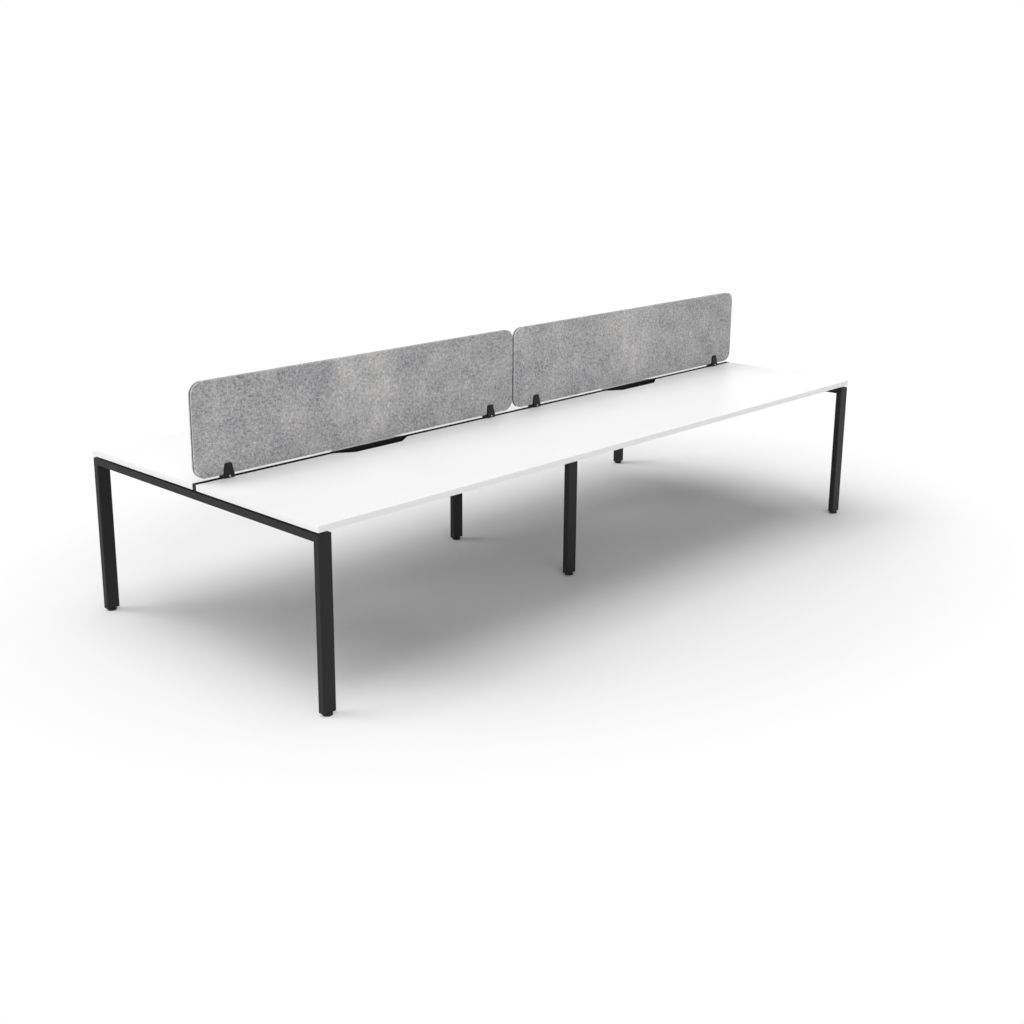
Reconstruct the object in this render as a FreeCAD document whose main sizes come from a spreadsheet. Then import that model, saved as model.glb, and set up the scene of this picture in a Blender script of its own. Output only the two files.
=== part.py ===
import FreeCAD, Part
import os
import re
import Sketcher

# Back-to-back workstation for four people. Two bays of facing worktops stand on three goalpost
# frames, and felt screens stand in clips over the strip that fills the gap between the tops.
# Millimetres. +X runs along the desk, -Y is the front side, +Z is up, and the origin is on the
# floor at the middle of the desk.

sizes = [
    ("desk_length", 3600),
    ("desk_height", 730),
    ("worktop_depth", 750),
    ("worktop_thickness", 25),
    ("worktop_gap", 25),
    ("worktop_seam", 0.6),
    ("shadow_gap", 9),
    ("scallop_rear_width", 422),
    ("scallop_slant", 79),
    ("scallop_depth", 50),
    ("scallop_corner_radius", 35),
    ("tube_width", 60),
    ("tube_thickness", 30),
    ("tube_wall", 2),
    ("tube_corner_radius", 3),
    ("middle_frame_depth", 790),
    ("beam_from_leg", 10),
    ("foot_radius", 20),
    ("foot_pad_height", 9),
    ("foot_pad_crown", 1.5),
    ("foot_pad_edge", 1),
    ("foot_pad_crown_inset", 4),
    ("foot_socket_floor", 2.5),
    ("foot_collar_height", 2),
    ("foot_collar_radius", 8.5),
    ("foot_free_travel", 1),
    ("foot_stem_radius", 5),
    ("foot_stem_tip", 1),
    ("foot_stem_top", 60),
    ("foot_thread_clearance", 0.05),
    ("foot_socket_clearance", 0.1),
    ("leg_plug_height", 25),
    ("bracket_flange_thickness", 4),
    ("bracket_tongue_length", 45),
    ("bracket_tongue_wall", 3),
    ("bracket_tongue_clearance", 0.3),
    ("bracket_screw_from_edge", 16),
    ("machine_screw_radius", 3),
    ("machine_screw_head_radius", 5.2),
    ("machine_screw_head_height", 3.3),
    ("bracket_screw_reach", 6),
    ("lock_screw_reach", 4),
    ("lock_screw_distance", 22),
    ("screw_clearance", 0.1),
    ("spacer_radius", 12),
    ("spacer_bore_clearance", 0.7),
    ("worktop_screw_radius", 2.5),
    ("worktop_screw_head_radius", 5.5),
    ("worktop_screw_head_height", 3),
    ("worktop_screw_short_of_top", 9),
    ("worktop_screw_hole_spare", 1.5),
    ("screw_access_radius", 7),
    ("fixing_from_strip", 150),
    ("fixing_from_front", 125),
    ("fixing_from_seam", 15),
    ("fixing_from_beam_end", 290),
    ("middle_fixing_share", 0.6),
    ("strip_wall", 2),
    ("strip_cap_thickness", 2),
    ("strip_plug_length", 10),
    ("strip_plug_clearance", 0.2),
    ("screen_gap", 12),
    ("screen_height", 385),
    ("screen_thickness", 20),
    ("screen_corner_radius", 50),
    ("screen_edge_radius", 3),
    ("clip_from_screen_end", 154),
    ("clip_width", 47),
    ("clip_taper", 6.5),
    ("clip_height", 60),
    ("clip_block_height", 15),
    ("clip_foot_thickness", 11),
    ("clip_lip_thickness", 3),
    ("clip_top_radius", 6),
    ("clip_screw_height", 8),
    ("clip_screw_radius", 2.5),
    ("clip_screw_head_radius", 4.2),
    ("clip_screw_head_height", 2.2),
    ("clip_screw_short_of_face", 2),
    ("block_screw_from_edge", 8.5),
    ("block_screw_radius", 2.4),
    ("block_screw_head_radius", 4.2),
    ("block_screw_head_height", 2.8),
    ("block_screw_head_cover", 0.6),
    ("block_screw_reach", 6),
    ("screw_crown_share", 0.7),
    ("screw_side_share", 0.6),
    ("cut_overrun", 5),
]

doc = FreeCAD.newDocument("Workstation")
dims = doc.addObject("Spreadsheet::Sheet", "Dims")
for row, (alias, value) in enumerate(sizes, start=1):
    dims.set(f"A{row}", alias.replace("_", " "))
    dims.set(f"B{row}", str(value))
    dims.setAlias(f"B{row}", alias)
doc.recompute()
aliases = {alias for alias, value in sizes}
parallel_share = 0.999
same_height = 0.001

# Places that several pieces share, as formulas of the sheet's sizes.
desk_depth = "(2 * worktop_depth + worktop_gap)"
worktop_underside = "(desk_height - worktop_thickness)"
leg_bottom = "(foot_pad_height + foot_collar_height + foot_free_travel)"
frame_top = f"({worktop_underside} - shadow_gap)"
rail_middle_height = f"({frame_top} - tube_thickness / 2)"
end_frame_x = "(desk_length / 2 - tube_width / 2)"
bay_middle = "(desk_length / 4)"
bay_inner_face = "(tube_width / 2)"
bay_outer_face = "(desk_length / 2 - tube_width)"
beam_length = f"({bay_outer_face} - {bay_inner_face} - 2 * bracket_flange_thickness)"
beam_middle = f"(({bay_outer_face} + {bay_inner_face}) / 2)"
beam_offset = "(middle_frame_depth / 2 - tube_thickness - beam_from_leg - tube_width / 2)"
beam_fixing = f"({beam_length} / 2 - fixing_from_beam_end)"
middle_fixing_y = f"({beam_offset} * middle_fixing_share)"
bracket_screw_offset = "(tube_width / 2 - bracket_screw_from_edge)"
spacer_bore_radius = "(worktop_screw_radius + spacer_bore_clearance)"
worktop_screw_bite = "(worktop_thickness - worktop_screw_short_of_top)"
screen_inner_end = "(screen_gap / 2)"
screen_length = f"(desk_length / 2 - {screen_inner_end})"
screen_middle = f"({screen_inner_end} + {screen_length} / 2)"
outer_clip_x = "(desk_length / 2 - clip_from_screen_end)"
inner_clip_x = f"({screen_inner_end} + clip_from_screen_end)"
block_screw_offset = "(clip_width / 2 - block_screw_from_edge)"
block_screw_sink = "(block_screw_head_height + block_screw_head_cover)"
rear_fixing_y = "(worktop_gap / 2 + fixing_from_strip)"
front_fixing_y = "(worktop_gap / 2 + worktop_depth - fixing_from_front)"
end_leg_y = f"({desk_depth} / 2 - tube_thickness / 2)"
middle_leg_y = "(middle_frame_depth / 2 - tube_thickness / 2)"


def formula(text):
    """Turns size names into references to the sheet."""
    return re.sub(r"[a-z_]+", lambda word: "Dims." + word[0] if word[0] in aliases else word[0], text)


def bind(thing, prop, text):
    thing.setExpression(prop, formula(text))


def place(thing, x="0", y="0", z="0", axis=(0, 0, 1), angle=0):
    """Puts a piece at x, y, z, turned about its own origin first."""
    turn = FreeCAD.Rotation(FreeCAD.Vector(*axis), angle)
    thing.Placement = FreeCAD.Placement(FreeCAD.Vector(), turn)
    bind(thing, "Placement.Base.x", x)
    bind(thing, "Placement.Base.y", y)
    bind(thing, "Placement.Base.z", z)
    return thing


def newBody(label):
    body = doc.addObject("PartDesign::Body", label)
    body.Label = label
    return body


def newSketch(body, name, role):
    sketch = body.newObject("Sketcher::SketchObject", name)
    plane = next(item for item in body.Origin.OriginFeatures if item.Role == role)
    sketch.AttachmentSupport = [(plane, "")]
    sketch.MapMode = "FlatFace"
    return sketch


def holdPoint(sketch, edge, point, x, y):
    """Fixes one point of the sketch at x, y from the origin."""
    here = sketch.getPoint(edge, point)
    for letter, kind, value, text in (("x", "DistanceX", here.x, x), ("y", "DistanceY", here.y, y)):
        index = sketch.addConstraint(Sketcher.Constraint(kind, -1, 1, edge, point, value))
        name = f"{letter}{index}"
        sketch.renameConstraint(index, name)
        bind(sketch, f"Constraints.{name}", text)


def addPolygon(sketch, corners):
    """Draws a closed outline, with each corner held by its own two sizes."""
    first = sketch.GeometryCount
    count = len(corners)
    ring = Part.makePolygon([FreeCAD.Vector(*point) for point in startRing(count)])
    for edge in ring.Edges:
        start, end = (vertex.Point for vertex in edge.Vertexes)
        sketch.addGeometry(Part.LineSegment(start, end))
    for index in range(count):
        following = (index + 1) % count
        joint = Sketcher.Constraint("Coincident", first + index, 2, first + following, 1)
        sketch.addConstraint(joint)
    for index, (x, y) in enumerate(corners):
        holdPoint(sketch, first + index, 1, x, y)


def startRing(count):
    """Corner places to begin a sketch from, on a circle of one unit, before its sizes are bound."""
    turn = FreeCAD.Rotation(FreeCAD.Vector(0, 0, 1), 360 / count)
    point = FreeCAD.Vector(1, 0, 0)
    ring = []
    for index in range(count):
        ring.append(tuple(point))
        point = turn.multVec(point)
    return ring + ring[:1]


def addRectangle(sketch, low_x, high_x, low_y, high_y):
    addPolygon(sketch, [(low_x, low_y), (high_x, low_y), (high_x, high_y), (low_x, high_y)])


def addCircle(sketch, x, y, radius):
    circle = Part.Circle(FreeCAD.Vector(1, 1, 0), FreeCAD.Vector(0, 0, 1), 1)
    edge = sketch.addGeometry(circle)
    holdPoint(sketch, edge, 3, x, y)
    index = sketch.addConstraint(Sketcher.Constraint("Radius", edge, circle.Radius))
    sketch.renameConstraint(index, f"radius{index}")
    bind(sketch, f"Constraints.radius{index}", radius)


def pad(body, sketch, length, symmetric=False, downward=False):
    feature = body.newObject("PartDesign::Pad", "Pad")
    feature.Profile = sketch
    bind(feature, "Length", length)
    feature.SideType = "Symmetric" if symmetric else "One side"
    feature.Reversed = downward
    doc.recompute()
    return feature


def pocket(body, sketch, length, symmetric=False, along_normal=False):
    """Cuts the sketch out of the body, and stops if it meets no material."""
    before = body.Shape.Volume
    feature = body.newObject("PartDesign::Pocket", "Pocket")
    feature.Profile = sketch
    bind(feature, "Length", length)
    feature.SideType = "Symmetric" if symmetric else "One side"
    feature.Reversed = along_normal
    doc.recompute()
    if body.Shape.Volume >= before:
        raise RuntimeError(f"{body.Label}: {sketch.Name} cut nothing")
    return feature


def revolve(body, corners):
    """Turns a profile, given as radius and height, about the body's upright axis."""
    sketch = newSketch(body, "Profile", "XZ_Plane")
    addPolygon(sketch, corners)
    feature = body.newObject("PartDesign::Revolution", "Turned")
    feature.Profile = sketch
    feature.ReferenceAxis = (sketch, ["V_Axis"])
    feature.Angle = 360
    doc.recompute()
    return feature


def roundEdges(body, radius, chosen):
    """Rounds the edges of the body that the test picks."""
    base = body.Tip
    names = [f"Edge{n}" for n, edge in enumerate(base.Shape.Edges, start=1) if chosen(edge)]
    feature = body.newObject("PartDesign::Fillet", "Rounding")
    feature.Base = (base, names)
    bind(feature, "Radius", radius)
    doc.recompute()
    return feature


def runsAlong(edge, axis):
    if len(edge.Vertexes) < 2 or not isinstance(edge.Curve, Part.Line):
        return False
    along = edge.Curve.Direction
    return abs(along.dot(axis)) > parallel_share


def group(label, pattern, spots):
    """Repeats one fastener at each spot, as separate solids under one label."""
    copies = []
    for index, spot in enumerate(spots, start=1):
        link = doc.addObject("App::Link", f"{pattern.Label}_at_{index}")
        link.LinkedObject = pattern
        place(link, **spot)
        copies.append(link)
    compound = doc.addObject("Part::Compound", label)
    compound.Links = copies
    compound.Label = label
    doc.recompute()
    return compound


def screwPattern(label, head_radius, head_height, shank_radius, shank_length):
    """One screw along Z with the underside of its head at the origin and its shank pointing up."""
    body = newBody(label)
    revolve(body, [
        ("0", f"-{head_height}"),
        (f"{head_radius} * screw_crown_share", f"-{head_height}"),
        (head_radius, f"-{head_height} * screw_side_share"),
        (head_radius, "0"),
        (shank_radius, "0"),
        (shank_radius, f"{shank_length} - {shank_radius} / 2"),
        (f"{shank_radius} / 2", shank_length),
        ("0", shank_length),
    ])
    return body


x_axis = FreeCAD.Vector(1, 0, 0)
y_axis = FreeCAD.Vector(0, 1, 0)
z_axis = FreeCAD.Vector(0, 0, 1)
sides = {"front": -1, "back": 1}
ends = {"left": -1, "right": 1}
pieces = []


def makeWorktop(label, end, side):
    """A board with its rear edge on y = 0, its front towards -Y, and the scallop in its rear edge."""
    body = newBody(label)
    sketch = newSketch(body, "Outline", "XY_Plane")
    half = "(desk_length / 4 - worktop_seam / 4)"
    addPolygon(sketch, [
        (f"-{half}", "-worktop_depth"),
        (half, "-worktop_depth"),
        (half, "0"),
        ("scallop_rear_width / 2", "0"),
        ("scallop_rear_width / 2 - scallop_slant", "-scallop_depth"),
        ("-scallop_rear_width / 2 + scallop_slant", "-scallop_depth"),
        ("-scallop_rear_width / 2", "0"),
        (f"-{half}", "0"),
    ])
    pad(body, sketch, "worktop_thickness")
    reach = dims.scallop_rear_width / 2 + dims.scallop_corner_radius
    roundEdges(body, "scallop_corner_radius",
               lambda edge: runsAlong(edge, z_axis) and abs(edge.Vertexes[0].X) < reach)
    holes = newSketch(body, "ScrewHoles", "XY_Plane")
    for x, y in worktopFixings(end, side):
        addCircle(holes, x, y, "worktop_screw_radius + screw_clearance")
    pocket(body, holes, f"{worktop_screw_bite} + worktop_screw_hole_spare", along_normal=True)
    middle = f"{ends[end]} * ({bay_middle} + worktop_seam / 4)"
    turn = 0 if side == "front" else 180
    place(body, middle, f"{sides[side]} * worktop_gap / 2", worktop_underside, angle=turn)
    return body


def worktopFixings(end, side):
    """Screw places on a worktop, in the worktop's own frame."""
    turned = ends[end] * (1 if side == "front" else -1)
    middle = f"({bay_middle} + worktop_seam / 4)"
    spots = [
        (f"{turned} * ({end_frame_x} - {middle})", f"worktop_gap / 2 - {rear_fixing_y}"),
        (f"{turned} * ({end_frame_x} - {middle})", f"worktop_gap / 2 - {front_fixing_y}"),
        (f"{turned} * (fixing_from_seam - {middle})", f"worktop_gap / 2 - {middle_fixing_y}"),
    ]
    for step in (-1, 0, 1):
        x = f"{turned} * ({beam_middle} - {middle}) + {step} * {beam_fixing}"
        spots.append((x, f"worktop_gap / 2 - {beam_offset}"))
    return spots


def makeLeg(label, x, y, turn):
    """A leg tube with its outer face towards -Y, and its top cut on the mitre."""
    body = newBody(label)
    outline = newSketch(body, "SideView", "YZ_Plane")
    addPolygon(outline, [
        ("-tube_thickness / 2", leg_bottom),
        ("tube_thickness / 2", leg_bottom),
        ("tube_thickness / 2", f"{frame_top} - tube_thickness"),
        ("-tube_thickness / 2", frame_top),
    ])
    pad(body, outline, "tube_width", symmetric=True)
    roundEdges(body, "tube_corner_radius", lambda edge: runsAlong(edge, z_axis))
    bore = newSketch(body, "Bore", "YZ_Plane")
    addRectangle(bore, "-tube_thickness / 2 + tube_wall", "tube_thickness / 2 - tube_wall",
                 f"{leg_bottom} - cut_overrun", f"{frame_top} + cut_overrun")
    pocket(body, bore, "tube_width - 2 * tube_wall", symmetric=True)
    place(body, x, y, angle=turn)
    return body


def makeLegPlug(label, x, y):
    """The block in the foot of a leg that the foot's stem screws into."""
    body = newBody(label)
    block = newSketch(body, "Block", "XY_Plane")
    addRectangle(block, "-tube_width / 2 + tube_wall", "tube_width / 2 - tube_wall",
                 "-tube_thickness / 2 + tube_wall", "tube_thickness / 2 - tube_wall")
    pad(body, block, "leg_plug_height")
    thread = newSketch(body, "Thread", "XY_Plane")
    addCircle(thread, "0", "0", "foot_stem_radius + foot_thread_clearance")
    pocket(body, thread, "leg_plug_height", along_normal=True)
    place(body, x, y, leg_bottom)
    return body


def makeFootPad(label, x, y):
    """The round pad that stands on the floor, with a socket for the stem."""
    body = newBody(label)
    revolve(body, [
        ("0", "0"),
        ("foot_radius - foot_pad_edge", "0"),
        ("foot_radius", "foot_pad_edge"),
        ("foot_radius", "foot_pad_height - foot_pad_crown"),
        ("foot_radius - foot_pad_crown_inset", "foot_pad_height"),
        ("foot_stem_radius + foot_socket_clearance", "foot_pad_height"),
        ("foot_stem_radius + foot_socket_clearance", "foot_socket_floor"),
        ("0", "foot_socket_floor"),
    ])
    place(body, x, y)
    return body


def makeFootStem(label, x, y):
    """The threaded stem, standing in the pad's socket, with a spanner collar on the pad's top."""
    body = newBody(label)
    revolve(body, [
        ("0", "foot_socket_floor"),
        ("foot_stem_radius", "foot_socket_floor"),
        ("foot_stem_radius", "foot_pad_height"),
        ("foot_collar_radius", "foot_pad_height"),
        ("foot_collar_radius", "foot_pad_height + foot_collar_height"),
        ("foot_stem_radius", "foot_pad_height + foot_collar_height"),
        ("foot_stem_radius", "foot_stem_top - foot_stem_tip"),
        ("foot_stem_radius - foot_stem_tip", "foot_stem_top"),
        ("0", "foot_stem_top"),
    ])
    place(body, x, y)
    return body


def makeRail(label, depth, x, turn, fixings, inner_sides):
    """A cross rail with mitred ends. Screws reach the worktops through holes in its two flat walls."""
    body = newBody(label)
    outline = newSketch(body, "SideView", "YZ_Plane")
    addPolygon(outline, [
        (f"-{depth} / 2 + tube_thickness", "-tube_thickness / 2"),
        (f"{depth} / 2 - tube_thickness", "-tube_thickness / 2"),
        (f"{depth} / 2", "tube_thickness / 2"),
        (f"-{depth} / 2", "tube_thickness / 2"),
    ])
    pad(body, outline, "tube_width", symmetric=True)
    roundEdges(body, "tube_corner_radius", lambda edge: runsAlong(edge, y_axis))
    bore = newSketch(body, "Bore", "YZ_Plane")
    addRectangle(bore, f"-{depth} / 2 - cut_overrun", f"{depth} / 2 + cut_overrun",
                 "-tube_thickness / 2 + tube_wall", "tube_thickness / 2 - tube_wall")
    pocket(body, bore, "tube_width - 2 * tube_wall", symmetric=True)
    drillForWorktops(body, fixings)
    bracket_holes = newSketch(body, "BracketHoles", "YZ_Plane")
    for side in (-1, 1):
        for offset in (-1, 1):
            addCircle(bracket_holes, f"{side} * {beam_offset} + {offset} * {bracket_screw_offset}", "0",
                      "machine_screw_radius + screw_clearance")
    for along_normal in inner_sides:
        pocket(body, bracket_holes, "tube_width", along_normal=along_normal)
    place(body, x, "0", rail_middle_height, angle=turn)
    return body


def drillForWorktops(body, fixings):
    """Screw holes in a tube's upper wall, and wider ones for the screwdriver in its lower wall."""
    upper = newSketch(body, "UpperHoles", "XY_Plane")
    lower = newSketch(body, "LowerHoles", "XY_Plane")
    for x, y in fixings:
        addCircle(upper, x, y, spacer_bore_radius)
        addCircle(lower, x, y, "screw_access_radius")
    pocket(body, upper, "tube_thickness", along_normal=True)
    pocket(body, lower, "tube_thickness")


def makeBeam(label, end, side):
    """A long beam between two frames, its ends slid over the brackets' tongues."""
    body = newBody(label)
    section = newSketch(body, "Section", "YZ_Plane")
    addRectangle(section, "-tube_width / 2", "tube_width / 2", "-tube_thickness / 2", "tube_thickness / 2")
    pad(body, section, beam_length, symmetric=True)
    roundEdges(body, "tube_corner_radius", lambda edge: runsAlong(edge, x_axis))
    bore = newSketch(body, "Bore", "YZ_Plane")
    addRectangle(bore, "-tube_width / 2 + tube_wall", "tube_width / 2 - tube_wall",
                 "-tube_thickness / 2 + tube_wall", "tube_thickness / 2 - tube_wall")
    pocket(body, bore, beam_length, symmetric=True)
    fixings = [(f"{step} * {beam_fixing}", "0") for step in (-1, 0, 1)]
    drillForWorktops(body, fixings)
    lock_holes = newSketch(body, "LockHoles", "XY_Plane")
    for tip in (-1, 1):
        addCircle(lock_holes, f"{tip} * ({beam_length} / 2 - lock_screw_distance)", "0",
                  "machine_screw_radius + screw_clearance")
    pocket(body, lock_holes, "tube_thickness")
    place(body, f"{ends[end]} * {beam_middle}", f"{sides[side]} * {beam_offset}", rail_middle_height)
    return body


def makeBracketPattern():
    """A flange that bolts to a rail, with a hollow tongue along +X for the beam."""
    body = newBody("bracket_pattern")
    tongue = newSketch(body, "Tongue", "YZ_Plane")
    half_width = "(tube_width / 2 - tube_wall - bracket_tongue_clearance)"
    half_height = "(tube_thickness / 2 - tube_wall - bracket_tongue_clearance)"
    addRectangle(tongue, f"-{half_width}", half_width, f"-{half_height}", half_height)
    addRectangle(tongue, f"-{half_width} + bracket_tongue_wall", f"{half_width} - bracket_tongue_wall",
                 f"-{half_height} + bracket_tongue_wall", f"{half_height} - bracket_tongue_wall")
    pad(body, tongue, "bracket_flange_thickness + bracket_tongue_length")
    flange = newSketch(body, "Flange", "YZ_Plane")
    addRectangle(flange, "-tube_width / 2", "tube_width / 2", "-tube_thickness / 2", "tube_thickness / 2")
    pad(body, flange, "bracket_flange_thickness")
    flange_holes = newSketch(body, "FlangeHoles", "YZ_Plane")
    for offset in (-1, 1):
        addCircle(flange_holes, f"{offset} * {bracket_screw_offset}", "0",
                  "machine_screw_radius + screw_clearance")
    pocket(body, flange_holes, "bracket_flange_thickness", along_normal=True)
    lock_hole = newSketch(body, "LockHole", "XY_Plane")
    addCircle(lock_hole, "bracket_flange_thickness + lock_screw_distance", "0",
              "machine_screw_radius + screw_clearance")
    pocket(body, lock_hole, "tube_thickness")
    return body


def bracketSpots():
    """Rail faces that carry a bracket: x of the face, the way it looks, and y of the beam."""
    for end in ends.values():
        for side in sides.values():
            yield f"{end} * {bay_outer_face}", -end, f"{side} * {beam_offset}"
            yield f"{end} * {bay_inner_face}", end, f"{side} * {beam_offset}"


def bracketPlaces():
    return [dict(x=x, y=y, z=rail_middle_height, angle=0 if way > 0 else 180)
            for x, way, y in bracketSpots()]


def bracketScrewPlaces():
    spots = []
    for x, way, y in bracketSpots():
        for offset in (-1, 1):
            spots.append(dict(
                x=f"{x} + {way} * bracket_flange_thickness",
                y=f"{y} + {offset} * {bracket_screw_offset}",
                z=rail_middle_height, axis=(0, 1, 0), angle=-90 * way))
    return spots


def lockScrewPlaces():
    return [dict(x=f"{x} + {way} * (bracket_flange_thickness + lock_screw_distance)", y=y,
                 z=f"{rail_middle_height} - tube_thickness / 2")
            for x, way, y in bracketSpots()]


def fixingPlaces():
    """Every place where a screw goes up through a frame tube and a spacer into a top or a strip."""
    spots = []
    for end in ends.values():
        for side in sides.values():
            spots.append((f"{end} * {end_frame_x}", f"{side} * {rear_fixing_y}"))
            spots.append((f"{end} * {end_frame_x}", f"{side} * {front_fixing_y}"))
            spots.append((f"{end} * fixing_from_seam", f"{side} * {middle_fixing_y}"))
            for step in (-1, 0, 1):
                x = f"{end} * {beam_middle} + {step} * {beam_fixing}"
                spots.append((x, f"{side} * {beam_offset}"))
        spots.append((f"{end} * {end_frame_x}", "0"))
        spots.append((f"{end} * fixing_from_seam", "0"))
    return spots


def makeSpacerPattern():
    body = newBody("spacer_pattern")
    revolve(body, [
        (spacer_bore_radius, "0"),
        ("spacer_radius", "0"),
        ("spacer_radius", "shadow_gap"),
        (spacer_bore_radius, "shadow_gap"),
    ])
    return body


def makeStrip(label, turn):
    """The square tube that fills the gap of one bay, drawn for the left bay."""
    body = newBody(label)
    section = newSketch(body, "SideView", "XZ_Plane")
    outer_end = "(desk_length / 2 - strip_cap_thickness)"
    addRectangle(section, f"-{outer_end}", "-worktop_seam / 2", "0", "worktop_thickness")
    pad(body, section, "worktop_gap", symmetric=True)
    bore = newSketch(body, "Bore", "XZ_Plane")
    addRectangle(bore, f"-{outer_end} - cut_overrun", "-worktop_seam / 2 + cut_overrun",
                 "strip_wall", "worktop_thickness - strip_wall")
    pocket(body, bore, "worktop_gap - 2 * strip_wall", symmetric=True)
    fixings = newSketch(body, "FixingHoles", "XY_Plane")
    for x in (f"-{end_frame_x}", "-fixing_from_seam"):
        addCircle(fixings, x, "0", "worktop_screw_radius + screw_clearance")
    pocket(body, fixings, "strip_wall", along_normal=True)
    block_holes = newSketch(body, "BlockHoles", "XY_Plane")
    for middle in (outer_clip_x, inner_clip_x):
        for offset in (-1, 1):
            addCircle(block_holes, f"-{middle} + {offset} * {block_screw_offset}", "0",
                      "block_screw_radius + screw_clearance")
    bind(block_holes, "AttachmentOffset.Base.z", "worktop_thickness")
    pocket(body, block_holes, "strip_wall")
    place(body, z=worktop_underside, angle=turn)
    return body


def makeCapPattern():
    """The plug that closes a strip's outer end, with its face on x = 0 and its plug along +X."""
    body = newBody("cap_pattern")
    face = newSketch(body, "Face", "YZ_Plane")
    addRectangle(face, "-worktop_gap / 2", "worktop_gap / 2", "0", "worktop_thickness")
    pad(body, face, "strip_cap_thickness")
    plug = newSketch(body, "Plug", "YZ_Plane")
    half_width = "(worktop_gap / 2 - strip_wall - strip_plug_clearance)"
    addRectangle(plug, f"-{half_width}", half_width, "strip_wall + strip_plug_clearance",
                 "worktop_thickness - strip_wall - strip_plug_clearance")
    pad(body, plug, "strip_cap_thickness + strip_plug_length")
    return body


def makeScreen(label, end):
    """A felt board with rounded corners and softened edges, standing on the clips' blocks."""
    body = newBody(label)
    outline = newSketch(body, "Outline", "XZ_Plane")
    addRectangle(outline, f"-{screen_length} / 2", f"{screen_length} / 2", "0", "screen_height")
    pad(body, outline, "screen_thickness", symmetric=True)
    roundEdges(body, "screen_corner_radius", lambda edge: runsAlong(edge, y_axis))
    roundEdges(body, "screen_edge_radius", lambda edge: not runsAlong(edge, y_axis))
    place(body, f"{ends[end]} * {screen_middle}", "0", "desk_height + clip_block_height")
    return body


def makeClipBlock(label, x):
    """The block under the screen, between the jaws, screwed down to the strip."""
    body = newBody(label)
    outline = newSketch(body, "Outline", "XY_Plane")
    addRectangle(outline, "-clip_width / 2", "clip_width / 2",
                 "-screen_thickness / 2", "screen_thickness / 2")
    pad(body, outline, "clip_block_height")
    cross = newSketch(body, "ClampHole", "XZ_Plane")
    addCircle(cross, "0", "clip_screw_height", "clip_screw_radius + screw_clearance")
    pocket(body, cross, "screen_thickness", symmetric=True)
    shank_holes = newSketch(body, "ShankHoles", "XY_Plane")
    head_holes = newSketch(body, "HeadHoles", "XY_Plane")
    bind(head_holes, "AttachmentOffset.Base.z", "clip_block_height")
    for offset in (-1, 1):
        spot = f"{offset} * {block_screw_offset}"
        addCircle(shank_holes, spot, "0", "block_screw_radius + screw_clearance")
        addCircle(head_holes, spot, "0", "block_screw_head_radius + screw_clearance")
    pocket(body, shank_holes, "clip_block_height", along_normal=True)
    pocket(body, head_holes, block_screw_sink)
    place(body, x, "0", "desk_height")
    return body


def makeClipJaw(label, x, turn):
    """A tapered jaw with a thick foot, drawn on the front of the screen."""
    body = newBody(label)
    profile = newSketch(body, "SideView", "YZ_Plane")
    addPolygon(profile, [
        ("-screen_thickness / 2", "0"),
        ("-screen_thickness / 2", "clip_height"),
        ("-screen_thickness / 2 - clip_lip_thickness", "clip_height"),
        ("-screen_thickness / 2 - clip_foot_thickness", "clip_block_height"),
        ("-screen_thickness / 2 - clip_foot_thickness", "0"),
    ])
    pad(body, profile, "clip_width", symmetric=True)
    taper = newSketch(body, "Taper", "XZ_Plane")
    for side in (-1, 1):
        addPolygon(taper, [
            (f"{side} * clip_width / 2", "clip_block_height"),
            (f"{side} * (clip_width / 2 + cut_overrun)", "clip_block_height"),
            (f"{side} * (clip_width / 2 + cut_overrun)", "clip_height + cut_overrun"),
            (f"{side} * (clip_width / 2 - clip_taper)", "clip_height + cut_overrun"),
            (f"{side} * (clip_width / 2 - clip_taper)", "clip_height"),
        ])
    pocket(body, taper, "2 * (screen_thickness + clip_foot_thickness)", symmetric=True)
    top_line = dims.clip_height
    roundEdges(body, "clip_top_radius",
               lambda edge: runsAlong(edge, y_axis) and abs(edge.Vertexes[0].Z - top_line) < same_height)
    clamp = newSketch(body, "ClampHole", "XZ_Plane")
    addCircle(clamp, "0", "clip_screw_height", "clip_screw_radius + screw_clearance")
    pocket(body, clamp, "2 * (screen_thickness + clip_foot_thickness)", symmetric=True)
    place(body, x, "0", "desk_height", angle=turn)
    return body


clip_places = {
    "1": f"-{outer_clip_x}",
    "2": f"-{inner_clip_x}",
    "3": inner_clip_x,
    "4": outer_clip_x,
}

leg_places = {
    "front_left": (f"-{end_frame_x}", f"-{end_leg_y}", 0),
    "back_left": (f"-{end_frame_x}", end_leg_y, 180),
    "front_middle": ("0", f"-{middle_leg_y}", 0),
    "back_middle": ("0", middle_leg_y, 180),
    "front_right": (end_frame_x, f"-{end_leg_y}", 0),
    "back_right": (end_frame_x, end_leg_y, 180),
}

for end in ends:
    for side in sides:
        pieces.append(makeWorktop(f"worktop_{side}_{end}", end, side))
        pieces.append(makeBeam(f"beam_{side}_{end}", end, side))
    pieces.append(makeScreen(f"screen_{end}", end))

for name, (x, y, turn) in leg_places.items():
    pieces.append(makeLeg(f"leg_{name}", x, y, turn))
    pieces.append(makeLegPlug(f"leg_plug_{name}", x, y))
    pieces.append(makeFootPad(f"foot_pad_{name}", x, y))
    pieces.append(makeFootStem(f"foot_stem_{name}", x, y))

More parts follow.
